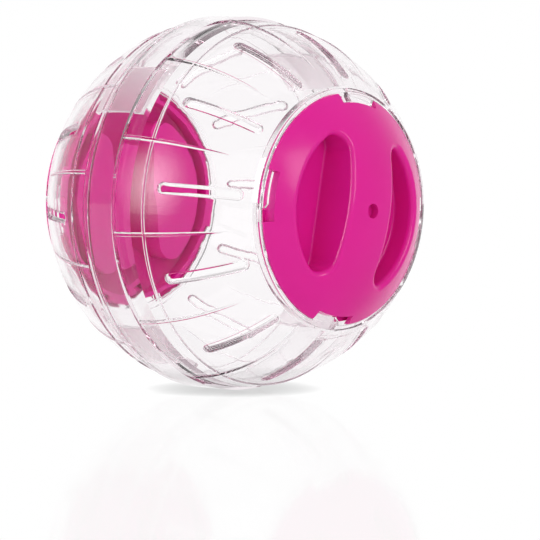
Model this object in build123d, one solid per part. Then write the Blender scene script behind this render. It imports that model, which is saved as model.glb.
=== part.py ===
"""Hamster ball: two clear half shells that push together at a band, and two twist-in lids.

The lids lie on the X axis and Z is up. The origin is the centre of the ball. Each half is drawn
in its own frame, seen from outside its lid: X to the right, Y up and Z out through the lid.
"""
import math
import os

from build123d import *

# Driving dimensions: millimetres and degrees

# Ball
ball_radius = 69.5  # outside of each half sphere
centre_offset = 1.7  # each half sphere's centre stands this far out from the ball's centre
wall = 2.0

# Band where the halves join
band_rise = 1.0  # how far the band stands proud of the ball
band_wall = 2.0
band_step = 9.7  # from the ball's centre to the step in the left half
band_root = 1.3  # solid ring that ties the band to the sphere wall
seam = 5.6  # from the ball's centre to the edge of the right half
seam_gap = 0.3
push_gap = 0.15
lip_wall = 1.65
tongue_count = 4
tongue_angle = 17.5
tongue_reach = 17.0  # from the ball's centre to a tongue's tip
tongue_root = 2.0
tongue_wall = 1.6
tongue_gap = 0.35
tongue_turn = 139.0
left_turn = 5.0  # how far the left half is turned about the lid axis, as put together

# Vent slots, ribs and ring on each half
slot_count = 12
slot_width = 4.4  # at the outside: the round-bottomed cut leaves a narrower gap at the inside
slot_mouth_gap = 5.3  # from the mouth's edge to a slot's end, square to the lid axis
slot_ring_gap = 5.3  # from the ring to a slot's other end, along the lid axis
slot_turn = -8.3
rib_width = 1.8
rib_height = 0.75
rib_latitude = 42.0  # where a rib sinks below the outside of the sphere
rib_fade = 3.0  # angle that it still runs on inside the wall
ring_place = 18.6
ring_width = 1.6
ring_height = 0.4

# Mouth that takes the lid
mouth_radius = 43.3
collar_wall = 1.6
collar_drop = 0.35  # below the edge of the lid
ledge_width = 1.2
ledge_height = 1.6
key_count = 4
key_angle = 19.0
key_reach = 3.2
key_height = 1.8
key_chamfer = 1.4
key_turn = -12.8

# Lid
lid_gap = 0.4
seat_gap = 0.2
lid_wall = 1.8
lid_skirt_wall = 1.8
notch_gap = 0.4  # from a key's tip to the bottom of a notch in the lid's edge
turn_angle = 6.5
turn_margin = 0.4
lug_angle = 16.0
lug_height = 1.8
lug_gap = 0.4
lug_side_gap = 0.3
lug_start = 1.2  # angle left free between a key and the lug beside it
grip_width = 22.6
grip_turn = -11.5
well_depth = 17.6  # below the top of the dome
well_inset = 6.9  # from the inside of the skirt
well_corner = 5.0
well_lip = 1.9
well_floor_round = 0.8
dimple_diameter = 5.5
dimple_depth = 3.2

# Worked out from the driving dimensions
inner_radius = ball_radius - wall
lid_radius = mouth_radius - lid_gap
key_inner = mouth_radius - key_reach
skirt_radius = key_inner - notch_gap
well_radius = skirt_radius - lid_skirt_wall - well_inset
lug_radius = mouth_radius - ledge_width - lug_side_gap
band_radius = ball_radius + band_rise
band_inner = band_radius - band_wall
lip_outer = band_inner - push_gap
lip_inner = lip_outer - lip_wall


def height(radius, sphere_radius):
    """Height of a sphere about a half's centre, at a distance from the lid axis."""
    return centre_offset + math.sqrt(sphere_radius**2 - radius**2)


def reach(level, sphere_radius):
    """Distance from the lid axis of a sphere about a half's centre, at a height."""
    return math.sqrt(sphere_radius**2 - (level - centre_offset) ** 2)


def latitude_level(latitude):
    """Height of the outside of a half at an angle above its sphere's middle plane."""
    return centre_offset + ball_radius * math.sin(math.radians(latitude))


def box(r_low, r_high, z_low, z_high):
    """Rectangle in the plane that is turned about the lid axis."""
    return Pos((r_low + r_high) / 2, (z_low + z_high) / 2) * Rectangle(r_high - r_low, z_high - z_low)


def disc(radius, level=centre_offset, side=0.0):
    """Circle in the plane that is turned about the lid axis."""
    return Pos(side, level) * Circle(radius)


def turned(sketch, angle=360.0, middle=0.0):
    """Solid of revolution about the lid axis, centred on an angle."""
    start = 0.0 if angle == 360.0 else middle - angle / 2
    return Rot(0, 0, start) * revolve(Plane.XZ * sketch, Axis.Z, angle)


def around(shape, count, first):
    """Copies of a shape at equal angles about the lid axis."""
    return [Rot(0, 0, first + 360.0 * k / count) * shape for k in range(count)]


# Levels at the mouth, measured out from the ball's centre
lid_edge = height(lid_radius, ball_radius)
collar_top = lid_edge - collar_drop
lid_underside = height(lid_radius, ball_radius - lid_wall)
ledge_top = lid_underside - seat_gap
key_top = collar_top
key_bottom = key_top - key_height
lug_top = key_bottom - lug_gap
lug_bottom = lug_top - lug_height
lid_top = height(0, ball_radius)
well_floor = lid_top - well_depth


def wall_with_mouth(edge):
    """Sphere wall of one half from its edge to the mouth, with the mouth's collar, ledge and keys."""
    shell = disc(ball_radius) - disc(inner_radius)
    shell = shell & box(mouth_radius, ball_radius + 1, edge, collar_top)
    ledge_bottom = ledge_top - ledge_height
    collar = box(mouth_radius, mouth_radius + collar_wall, ledge_bottom, collar_top)
    ledge = box(mouth_radius - ledge_width, mouth_radius + 0.1, ledge_bottom, ledge_top)
    half = turned(shell + collar + ledge)
    key = turned(box(key_inner, mouth_radius + 0.1, key_bottom, key_top), key_angle)
    corner = key.edges().filter_by(Axis.Z).group_by(SortBy.DISTANCE)[0].sort_by(Axis.Y)[-1]
    key = chamfer(corner, key_chamfer)
    return half + around(key, key_count, key_turn)


def hoop(radius, thickness, level=centre_offset, side=0.0):
    """Round rod bent to a circle in a plane through the lid axis."""
    return Pos(side, 0, level) * Rot(90, 0, 0) * Torus(radius, thickness / 2)


def sector(z_low, z_high):
    """Block on the +X side of the lid axis, between two heights."""
    deep = Box(ball_radius, ball_radius, z_high - z_low, align=(Align.MIN, Align.CENTER, Align.MIN))
    return Pos(mouth_radius + collar_wall, 0, z_low) * deep


def ribs(edge):
    """Rounded ribs midway between the slots, from the half's edge until they sink into the wall."""
    slope = math.radians(rib_latitude - 90.0)
    shift = rib_height / math.cos(slope)
    centre = centre_offset + shift * math.sin(slope)
    rib = hoop(ball_radius - rib_width / 2, rib_width, centre, shift * math.cos(slope))
    rib = rib & sector(edge, min(collar_top, latitude_level(rib_latitude + rib_fade)))
    return around(rib, slot_count, slot_turn + 180.0 / slot_count)


def ring():
    """Thin rounded ring around the half."""
    rise = math.asin((ring_place - centre_offset) / ball_radius)
    at = ball_radius + ring_height - ring_width / 2
    return Pos(0, 0, centre_offset + at * math.sin(rise)) * Torus(at * math.cos(rise), ring_width / 2)


def slots():
    """Vent slots with round bottoms and ends, cut into the sphere until they break through."""
    end_angle = math.degrees(slot_width / 2 / ball_radius)
    low = math.degrees(math.asin((ring_place + slot_ring_gap - centre_offset) / ball_radius)) + end_angle
    high = math.degrees(math.acos((mouth_radius + slot_mouth_gap) / ball_radius)) - end_angle
    piece = sector(latitude_level(low) - slot_width, latitude_level(high) + slot_width)
    slot = hoop(ball_radius, slot_width) & piece
    for side, latitude in ((-1.0, low), (1.0, high)):
        end = Pos(0, 0, centre_offset) * Rot(0, -latitude, 0) * Pos(ball_radius, 0, 0)
        beyond = end * Pos(0, 0, side * ball_radius / 2) * Box(ball_radius, slot_width * 2, ball_radius)
        slot = slot - beyond
        slot += (end * Rot(0, 90, 0) * Sphere(slot_width / 2)) & beyond
    return around(slot, slot_count, slot_turn)


def right_half():
    """Half with the lip and the tongues that push into the other half."""
    half = wall_with_mouth(seam)
    lip_end = band_step - band_root - seam_gap
    half += turned(box(lip_inner, lip_outer, -lip_end, seam + wall / 2))
    half += turned(box(lip_inner, ball_radius, seam, ball_radius / 2) & disc(inner_radius + wall / 2))
    tongue_outer = inner_radius - tongue_gap
    bend = disc(tongue_outer, -centre_offset) - disc(tongue_outer - tongue_wall, -centre_offset)
    bend = bend & box(0.5 * ball_radius, ball_radius, -tongue_reach, -centre_offset)
    straight = box(tongue_outer - tongue_wall, tongue_outer, -centre_offset, seam + tongue_root)
    half += around(turned(bend + straight, tongue_angle), tongue_count, tongue_turn)
    half += ribs(seam)
    half += ring()
    return half - slots()


def left_half():
    """Half with the band that the other half's lip pushes into."""
    half = wall_with_mouth(band_step)
    half += turned(box(band_inner, band_radius, -(seam - seam_gap), band_step))
    half += turned(box(reach(band_step, inner_radius), band_radius, band_step - band_root, band_step))
    half += ribs(band_step)
    half += ring()
    return half - slots()


def well(grow, low, high):
    """One finger well, or the block around it when it is grown by a wall."""
    side = Pos(ball_radius / 2 + grip_width / 2 - grow, 0) * Rectangle(ball_radius, 3 * ball_radius)
    shape = Circle(well_radius + grow) & side
    shape = fillet(shape.vertices(), well_corner + grow)
    return Pos(0, 0, low) * extrude(shape, high - low)


def lid():
    """Domed lid with a skirt, four notched lug places, two finger wells and the grip between them."""
    under = ball_radius - lid_wall
    dome = (disc(ball_radius) - disc(under)) & box(0, lid_radius, lid_underside - 1.0, ball_radius + 5)
    skirt = box(skirt_radius - lid_skirt_wall, skirt_radius, lug_bottom, height(skirt_radius, under) + 0.6)
    body = turned(dome + skirt)
    notch_angle = key_angle + turn_angle + 2 * turn_margin
    notch_turn = key_turn + turn_angle / 2
    notch = turned(box(skirt_radius, lid_radius + 1, lug_bottom - 1, ball_radius), notch_angle)
    body -= around(notch, key_count, notch_turn)
    lug_turn = key_turn + key_angle / 2 + lug_start + lug_angle / 2
    lug = turned(box(skirt_radius - 0.5, lug_radius, lug_bottom, lug_top), lug_angle)
    body += around(lug, key_count, lug_turn)

    sphere = Pos(0, 0, centre_offset) * Sphere(ball_radius)
    block = well(lid_wall, well_floor - lid_wall, ball_radius + 5) & sphere
    body += around(block, 2, grip_turn)
    boss = extrude(Circle(dimple_diameter / 2 + lid_wall), dimple_depth)
    body += Pos(0, 0, lid_top - dimple_depth - lid_wall) * boss
    pocket = well(0.0, well_floor, ball_radius + 5)
    pocket = fillet(pocket.faces().sort_by(Axis.Z)[0].edges(), well_floor_round)
    body -= around(pocket, 2, grip_turn)
    rims = [
        edge
        for edge in body.edges()
        if abs((edge @ 0.5 - Vector(0, 0, centre_offset)).length - ball_radius) < 0.01
        and math.hypot((edge @ 0.5).X, (edge @ 0.5).Y) < well_radius + 0.1
    ]
    body = fillet(rims, well_lip)
    hole = Pos(0, 0, lid_top - dimple_depth) * extrude(Circle(dimple_diameter / 2), ball_radius)
    return body - hole


# Place each half and lid in the ball's frame
right_place = Plane(origin=(0, 0, 0), x_dir=(0, 1, 0), z_dir=(1, 0, 0)).location
left_place = Plane(origin=(0, 0, 0), x_dir=(0, -1, 0), z_dir=(-1, 0, 0)).location * Rot(0, 0, left_turn)

lid_shape = lid()
pieces = {
    "right_shell": right_place * right_half(),
    "left_shell": left_place * left_half(),
    "right_lid": right_place * lid_shape,
    "left_lid": left_place * lid_shape,
}

os.makedirs("parts", exist_ok=True)
for name, piece in pieces.items():
    export_step(piece, f"parts/{name}.step")
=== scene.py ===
"""Hamster ball: clear slotted shells with pink twist-in lids, on a white glossy floor."""
import math

import bpy
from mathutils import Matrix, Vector


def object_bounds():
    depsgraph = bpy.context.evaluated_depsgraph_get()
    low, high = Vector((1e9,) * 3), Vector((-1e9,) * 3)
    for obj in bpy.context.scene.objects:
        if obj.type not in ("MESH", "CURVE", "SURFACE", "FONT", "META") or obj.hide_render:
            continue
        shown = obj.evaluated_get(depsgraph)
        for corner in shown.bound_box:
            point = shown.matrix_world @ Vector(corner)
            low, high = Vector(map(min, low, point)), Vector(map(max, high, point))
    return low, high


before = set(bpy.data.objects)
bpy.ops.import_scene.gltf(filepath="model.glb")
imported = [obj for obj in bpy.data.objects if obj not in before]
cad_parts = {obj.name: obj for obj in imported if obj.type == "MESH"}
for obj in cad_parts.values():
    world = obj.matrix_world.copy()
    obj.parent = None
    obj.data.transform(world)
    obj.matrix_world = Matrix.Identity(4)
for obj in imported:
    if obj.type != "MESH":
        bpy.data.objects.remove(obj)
cad_low, cad_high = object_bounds()

# Photograph's view: degrees, metres and pixels of the 540 by 540 frame
AZIMUTH = 43.6
ELEVATION = 4.3
DISTANCE = 1.8
PIXELS = 540
PIXELS_PER_METRE = 2643.0
BALL_PIXEL = (234.2, 203.0)  # where the ball's centre sits in the frame
SENSOR = 36.0  # millimetres
CLIP_END = 50.0

# Studio's brightness from behind the ball (-1) to behind the camera (1), with dark cards at its
# sides: as surfaces mirror it, and as it shows through the clear plastic
MIRRORED = ((-1.0, 1.0), (-0.9, 1.0), (-0.3, 0.4), (0.3, 0.3), (1.0, 0.3))
THROUGH = ((-1.0, 1.0), (-0.6, 1.0), (-0.2, 0.3), (0.3, 0.3), (0.75, 0.95), (1.0, 0.95))
SKY_LIGHT = 0.6  # on matt surfaces
SKY_LIGHT_THROUGH = 0.85  # on matt surfaces, through the clear plastic
SKY_SEEN = 1.0  # by the camera

# Soft key light: metres, and its direction from the ball along the view's right, up and back
KEY_RADIUS = 0.5
KEY_DISTANCE = 1.0
KEY_STRENGTH = 10.5
KEY_TOWARDS = (-0.8, 0.17, 0.575)
KEY_SIDES = 64

# Colours, linear
PINK = (0.72, 0.011, 0.29, 1.0)
PINK_DEEP = (0.66, 0.009, 0.255, 1.0)
CLEAR = (0.995, 0.99, 0.993, 1.0)
CLEAR_TINT = (0.45, 0.05, 0.25, 1.0)
CLEAR_SHINE = (0.4, 0.4, 0.4, 1.0)
CLEAR_SHADE = (0.94, 0.93, 0.935, 1.0)  # light that passes one face on its way to a shadow
PAPER = (0.9, 0.9, 0.9, 1.0)
WHITE = (1.0, 1.0, 1.0, 1.0)

# Plastics: noise scales are features per metre, and heights and depths are metres
PLASTIC_IOR = 1.5
TINT_DENSITY = 9.0
RIPPLE_SCALE = 55.0
RIPPLE_STRENGTH = 0.06
RIPPLE_HEIGHT = 0.0008
HAZE_SCALE = 160.0
HAZE_ROUGHNESS = (0.01, 0.045)
PINK_SPECULAR = 0.38
PINK_SCATTER = 0.12
PINK_SCATTER_RADIUS = (1.0, 0.25, 0.5)
PINK_SCATTER_DEPTH = 0.0015
DRIFT_SCALE = 28.0
DRIFT_SHARE = (0.0, 0.5)
SATIN_SCALE = 240.0
SATIN_ROUGHNESS = (0.17, 0.25)
GRAIN_SCALE = 2600.0
GRAIN_DETAIL = 2.0
GRAIN_STRENGTH = 0.08
GRAIN_HEIGHT = 0.0002
NOISE_DETAIL = 3.0
NOISE_ROUGHNESS = 0.55
NOISE_RANGE = (0.3, 0.7)  # most of a noise lies between these

# Frosted joining tongues: metres in the ball's frame, and the roughness that they add
LIP_INSIDE = 0.0666
TONGUE_ROOT = 0.0077
FROST = 0.55

# Floor: metres, and shares of white; the shadow under the ball is painted into the floor's white
# glow by ambient occlusion
FLOOR_HALF = 6.0
POLISH_ROUGHNESS = 0.06
POLISH_SHARE = 0.08
POLISH_FACING = (0.76, 0.86)  # the polish shows from the first, and fully at the second
# Painted contact shadow: how far the occlusion reaches, its samples, and the glow's white where
# the ball is closest
PAINTED_SHADOW_REACH = 0.008
PAINTED_SHADOW_SAMPLES = 16
PAINTED_SHADOW_WHITE = 0.64
FLOOR_WHITE = 1.0

# Light paths through the clear walls
BOUNCES = 32
GLOSSY_BOUNCES = 24


def add_material(name):
    """New material with an empty node tree and its output."""
    material = bpy.data.materials.new(name)
    material.use_nodes = True
    tree = material.node_tree
    tree.nodes.clear()
    output = tree.nodes.new("ShaderNodeOutputMaterial")
    return material, tree, output


def link(tree, a, out, b, into):
    """Joins one node's output to another's input."""
    tree.links.new(a.outputs[out], b.inputs[into])


def noise(tree, scale, detail=NOISE_DETAIL):
    """Noise in the object's own space, scale in features per metre."""
    place = tree.nodes.new("ShaderNodeTexCoord")
    texture = tree.nodes.new("ShaderNodeTexNoise")
    texture.inputs["Scale"].default_value = scale
    texture.inputs["Detail"].default_value = detail
    texture.inputs["Roughness"].default_value = NOISE_ROUGHNESS
    link(tree, place, "Object", texture, "Vector")
    return texture


def spread(tree, source, low, high):
    """Turns a noise into a value between low and high."""
    ramp = tree.nodes.new("ShaderNodeMapRange")
    ramp.inputs["From Min"].default_value = NOISE_RANGE[0]
    ramp.inputs["From Max"].default_value = NOISE_RANGE[1]
    ramp.inputs["To Min"].default_value = low
    ramp.inputs["To Max"].default_value = high
    link(tree, source, "Fac", ramp, "Value")
    return ramp.outputs["Result"]


def bump(tree, source, strength, height):
    """Bump node that raises a surface by a noise."""
    node = tree.nodes.new("ShaderNodeBump")
    node.inputs["Strength"].default_value = strength
    node.inputs["Distance"].default_value = height
    link(tree, source, "Fac", node, "Height")
    return node


def smooth(tree, source, low, high, most=1.0):
    """Nought up to a low value of an output, rising smoothly to the most at a high one."""
    ramp = tree.nodes.new("ShaderNodeMapRange")
    ramp.interpolation_type = "SMOOTHSTEP"
    ramp.inputs["From Min"].default_value = low
    ramp.inputs["From Max"].default_value = high
    ramp.inputs["To Max"].default_value = most
    tree.links.new(source, ramp.inputs["Value"])
    return ramp.outputs["Result"]


def number(tree, operation, first, second):
    """Result of a sum on a node's output and a number or another output."""
    node = tree.nodes.new("ShaderNodeMath")
    node.operation = operation
    tree.links.new(first, node.inputs[0])
    if isinstance(second, float):
        node.inputs[1].default_value = second
    else:
        tree.links.new(second, node.inputs[1])
    return node.outputs[0]


def length(tree, source):
    """Length of a vector output."""
    node = tree.nodes.new("ShaderNodeVectorMath")
    node.operation = "LENGTH"
    tree.links.new(source, node.inputs[0])
    return node.outputs["Value"]


def ray(tree, kind):
    """What the present ray is: the named output of a light path node."""
    return tree.nodes.new("ShaderNodeLightPath").outputs[kind]


def mixed(tree, share, first, second):
    """Mixes two shader nodes by a node's output."""
    mix = tree.nodes.new("ShaderNodeMixShader")
    tree.links.new(share, mix.inputs[0])
    tree.links.new(first.outputs[0], mix.inputs[1])
    tree.links.new(second.outputs[0], mix.inputs[2])
    return mix


def glow(tree, strength):
    """White emission of a strength."""
    shader = tree.nodes.new("ShaderNodeEmission")
    shader.inputs["Color"].default_value = WHITE
    shader.inputs["Strength"].default_value = strength
    return shader


def tongue_place(tree):
    """One on the right half's joining tongues, which lie inside its lip, and nought elsewhere."""
    place = tree.nodes.new("ShaderNodeTexCoord")
    across = tree.nodes.new("ShaderNodeVectorMath")
    across.operation = "MULTIPLY"
    across.inputs[1].default_value = (0.0, 1.0, 1.0)
    link(tree, place, "Object", across, 0)
    axis = tree.nodes.new("ShaderNodeSeparateXYZ")
    link(tree, place, "Object", axis, "Vector")
    inside = number(tree, "LESS_THAN", length(tree, across.outputs["Vector"]), LIP_INSIDE)
    before = number(tree, "LESS_THAN", axis.outputs["X"], TONGUE_ROOT)
    return number(tree, "MULTIPLY", inside, before)


def clear_plastic(name, tongues):
    """Clear moulded styrene: refractive, with faint ripples, and frosted on any tongues."""
    material, tree, output = add_material(name)
    shader = tree.nodes.new("ShaderNodeBsdfPrincipled")
    shader.inputs["Base Color"].default_value = CLEAR
    shader.inputs["IOR"].default_value = PLASTIC_IOR
    shader.inputs["Transmission Weight"].default_value = 1.0
    shader.inputs["Specular Tint"].default_value = CLEAR_SHINE
    ripple = bump(tree, noise(tree, RIPPLE_SCALE), RIPPLE_STRENGTH, RIPPLE_HEIGHT)
    link(tree, ripple, "Normal", shader, "Normal")
    rough = spread(tree, noise(tree, HAZE_SCALE), *HAZE_ROUGHNESS)
    if tongues:
        frost = number(tree, "MULTIPLY", tongue_place(tree), FROST)
        rough = number(tree, "ADD", frost, rough)
    tree.links.new(rough, shader.inputs["Roughness"])
    shade = tree.nodes.new("ShaderNodeBsdfTransparent")
    shade.inputs["Color"].default_value = CLEAR_SHADE
    surface = mixed(tree, ray(tree, "Is Shadow Ray"), shader, shade)
    link(tree, surface, "Shader", output, "Surface")
    depth = tree.nodes.new("ShaderNodeVolumeAbsorption")
    depth.inputs["Color"].default_value = CLEAR_TINT
    depth.inputs["Density"].default_value = TINT_DENSITY
    link(tree, depth, "Volume", output, "Volume")
    return material


def pink_plastic():
    """Opaque satin pink moulding with a fine grain and a slight drift in its colour."""
    material, tree, output = add_material("pink_styrene")
    shader = tree.nodes.new("ShaderNodeBsdfPrincipled")
    shader.inputs["IOR"].default_value = PLASTIC_IOR
    shader.inputs["Specular IOR Level"].default_value = PINK_SPECULAR
    shader.inputs["Subsurface Weight"].default_value = PINK_SCATTER
    shader.inputs["Subsurface Radius"].default_value = PINK_SCATTER_RADIUS
    shader.inputs["Subsurface Scale"].default_value = PINK_SCATTER_DEPTH
    tint = tree.nodes.new("ShaderNodeMix")
    tint.data_type = "RGBA"
    tint.inputs[6].default_value = PINK
    tint.inputs[7].default_value = PINK_DEEP
    drift = spread(tree, noise(tree, DRIFT_SCALE), *DRIFT_SHARE)
    tree.links.new(drift, tint.inputs[0])
    tree.links.new(tint.outputs[2], shader.inputs["Base Color"])
    satin = spread(tree, noise(tree, SATIN_SCALE), *SATIN_ROUGHNESS)
    tree.links.new(satin, shader.inputs["Roughness"])
    grain = bump(tree, noise(tree, GRAIN_SCALE, GRAIN_DETAIL), GRAIN_STRENGTH, GRAIN_HEIGHT)
    link(tree, grain, "Normal", shader, "Normal")
    link(tree, shader, "BSDF", output, "Surface")
    return material


def floor_material():
    """White glossy table top: a painted shadow under the ball, where ambient occlusion dims its
    glow, and a faint reflection at a low angle.
    """
    material, tree, output = add_material("floor_white_painted_shadow")
    paper = tree.nodes.new("ShaderNodeBsdfDiffuse")
    paper.inputs["Color"].default_value = PAPER
    polish = tree.nodes.new("ShaderNodeBsdfGlossy")
    polish.inputs["Color"].default_value = WHITE
    polish.inputs["Roughness"].default_value = POLISH_ROUGHNESS
    # Painted contact shadow: ambient occlusion near the ball dims the floor's white glow, in place
    # of shade from the lamps
    shade = tree.nodes.new("ShaderNodeAmbientOcclusion")
    shade.samples = PAINTED_SHADOW_SAMPLES
    shade.inputs["Distance"].default_value = PAINTED_SHADOW_REACH
    # dark is the glow of the painted shadow; white is the floor's glow with the painted shadow
    # mixed in
    dark, bright = glow(tree, PAINTED_SHADOW_WHITE), glow(tree, FLOOR_WHITE)
    white = mixed(tree, shade.outputs["AO"], dark, bright)
    facing = tree.nodes.new("ShaderNodeLayerWeight").outputs["Facing"]
    top = mixed(tree, smooth(tree, facing, *POLISH_FACING, POLISH_SHARE), white, polish)
    last = mixed(tree, ray(tree, "Is Diffuse Ray"), top, paper)
    link(tree, last, "Shader", output, "Surface")
    return material


def key_material():
    """Soft light that fades towards its edge."""
    material, tree, output = add_material("key_light")
    bright = glow(tree, KEY_STRENGTH)
    faded = tree.nodes.new("ShaderNodeBsdfTransparent")
    place = tree.nodes.new("ShaderNodeTexCoord").outputs["Object"]
    fade = smooth(tree, length(tree, place), 0.0, KEY_RADIUS)
    link(tree, mixed(tree, fade, bright, faded), "Shader", output, "Surface")
    return material


def paint(node, material):
    """Gives a CAD node its finish."""
    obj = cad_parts[node]
    obj.data.materials.clear()
    obj.data.materials.append(material)


def add_floor():
    """Square white floor under the ball; shiny surfaces don't mirror it."""
    mesh = bpy.data.meshes.new("floor")
    ends = ((-1, -1), (1, -1), (1, 1), (-1, 1))
    corners = [(FLOOR_HALF * x, FLOOR_HALF * y, cad_low.z) for x, y in ends]
    mesh.from_pydata(corners, [], [(0, 1, 2, 3)])
    floor = bpy.data.objects.new("floor", mesh)
    floor.data.materials.append(floor_material())
    floor.visible_glossy = False
    bpy.context.scene.collection.objects.link(floor)


def view_axes():
    """Camera's right, up and back directions at the photograph's angle."""
    a, e = math.radians(AZIMUTH), math.radians(ELEVATION)
    back = Vector((math.sin(a) * math.cos(e), -math.cos(a) * math.cos(e), math.sin(e)))
    right = Vector((math.cos(a), math.sin(a), 0.0))
    return right, back.cross(right), back


def along_view(rightward, upward, backward):
    """Vector from its parts along the photograph's right, up and back directions."""
    right, up, back = view_axes()
    return right * rightward + up * upward + back * backward


def add_area(name, place, side, watts, mirrored):
    """Soft square lamp pointed at the ball's centre; shiny surfaces may mirror it or not."""
    lamp = bpy.data.lights.new(name, "AREA")
    lamp.shape = "SQUARE"
    lamp.size = side
    lamp.energy = watts
    obj = bpy.data.objects.new(name, lamp)
    obj.location = place
    obj.rotation_euler = (Vector() - place).to_track_quat("-Z", "Y").to_euler()
    obj.visible_glossy = mirrored
    bpy.context.scene.collection.objects.link(obj)


def add_key():
    """Round soft light that gives the glow on the near shell; the camera doesn't see it."""
    towards = along_view(*KEY_TOWARDS)
    mesh = bpy.data.meshes.new("key")
    turns = [2.0 * math.pi * k / KEY_SIDES for k in range(KEY_SIDES)]
    rim = [(KEY_RADIUS * math.cos(t), KEY_RADIUS * math.sin(t), 0.0) for t in turns]
    mesh.from_pydata(rim, [], [list(range(KEY_SIDES))])
    mesh.materials.append(key_material())
    key = bpy.data.objects.new("key", mesh)
    key.location = towards * KEY_DISTANCE
    key.rotation_euler = towards.to_track_quat("Z", "Y").to_euler()
    key.visible_camera = False
    key.visible_diffuse = False
    bpy.context.scene.collection.objects.link(key)


def add_camera():
    """Long lens at the photograph's angle, framed without lens shift."""
    right, up, back = view_axes()
    aim = right * (PIXELS / 2 - BALL_PIXEL[0]) / PIXELS_PER_METRE
    aim += up * (BALL_PIXEL[1] - PIXELS / 2) / PIXELS_PER_METRE
    lens = bpy.data.cameras.new("camera")
    lens.sensor_width = SENSOR
    lens.lens = PIXELS_PER_METRE * DISTANCE * SENSOR / PIXELS
    lens.clip_end = CLIP_END
    camera = bpy.data.objects.new("camera", lens)
    camera.location = aim + back * DISTANCE
    camera.rotation_euler = back.to_track_quat("Z", "Y").to_euler()
    bpy.context.scene.collection.objects.link(camera)
    bpy.context.scene.camera = camera


def even_sky(tree, strength):
    """White sky of one strength."""
    sky = tree.nodes.new("ShaderNodeBackground")
    sky.inputs["Color"].default_value = WHITE
    sky.inputs["Strength"].default_value = strength
    return sky


def background(tree, forward, levels):
    """White sky that is as bright as each level says, along the forward direction."""
    along = tree.nodes.new("ShaderNodeMapRange")
    along.inputs["From Min"].default_value = -1.0
    link(tree, forward, "Value", along, "Value")
    ramp = tree.nodes.new("ShaderNodeValToRGB")
    ramp.color_ramp.interpolation = "EASE"
    stops = ramp.color_ramp.elements
    while len(stops) < len(levels):
        stops.new(0.5)
    for stop, (place, level) in zip(stops, levels):
        stop.position = (place + 1.0) / 2.0
        stop.color = (level, level, level, 1.0)
    link(tree, along, "Result", ramp, "Fac")
    sky = tree.nodes.new("ShaderNodeBackground")
    link(tree, ramp, "Color", sky, "Color")
    return sky


def add_world():
    """White studio, with darker sides where surfaces mirror it or it shows through the plastic."""
    world = bpy.data.worlds.new("studio")
    bpy.context.scene.world = world
    world.use_nodes = True
    tree = world.node_tree
    tree.nodes.clear()
    output = tree.nodes.new("ShaderNodeOutputWorld")
    place = tree.nodes.new("ShaderNodeTexCoord")
    forward = tree.nodes.new("ShaderNodeVectorMath")
    forward.operation = "DOT_PRODUCT"
    link(tree, place, "Generated", forward, 0)
    forward.inputs[1].default_value = view_axes()[2]
    mirrored = background(tree, forward, MIRRORED)
    through = background(tree, forward, THROUGH)
    open_sky, sky_through = even_sky(tree, SKY_LIGHT), even_sky(tree, SKY_LIGHT_THROUGH)
    light = mixed(tree, ray(tree, "Is Transmission Ray"), open_sky, sky_through)
    last = mixed(tree, ray(tree, "Is Transmission Ray"), mirrored, through)
    last = mixed(tree, ray(tree, "Diffuse Depth"), last, light)
    last = mixed(tree, ray(tree, "Is Camera Ray"), last, even_sky(tree, SKY_SEEN))
    link(tree, last, "Shader", output, "Surface")


paint("right_shell", clear_plastic("clear_styrene_tongued", True))
paint("left_shell", clear_plastic("clear_styrene", False))
pink = pink_plastic()
for cover in ("right_lid", "left_lid"):
    paint(cover, pink)

add_floor()
add_key()
add_area("front", along_view(0.0, 0.3, 1.1), side=0.6, watts=1.6, mirrored=False)
add_area("side", along_view(0.8, 0.35, 0.8), side=0.5, watts=2.9, mirrored=True)
add_area("top", Vector((0.0, 0.0, 1.1)), side=0.9, watts=2.4, mirrored=False)
add_world()
add_camera()
scene = bpy.context.scene
scene.view_settings.view_transform = "Standard"
scene.cycles.max_bounces = BOUNCES
scene.cycles.transmission_bounces = BOUNCES
scene.cycles.glossy_bounces = GLOSSY_BOUNCES
scene.cycles.transparent_max_bounces = BOUNCES
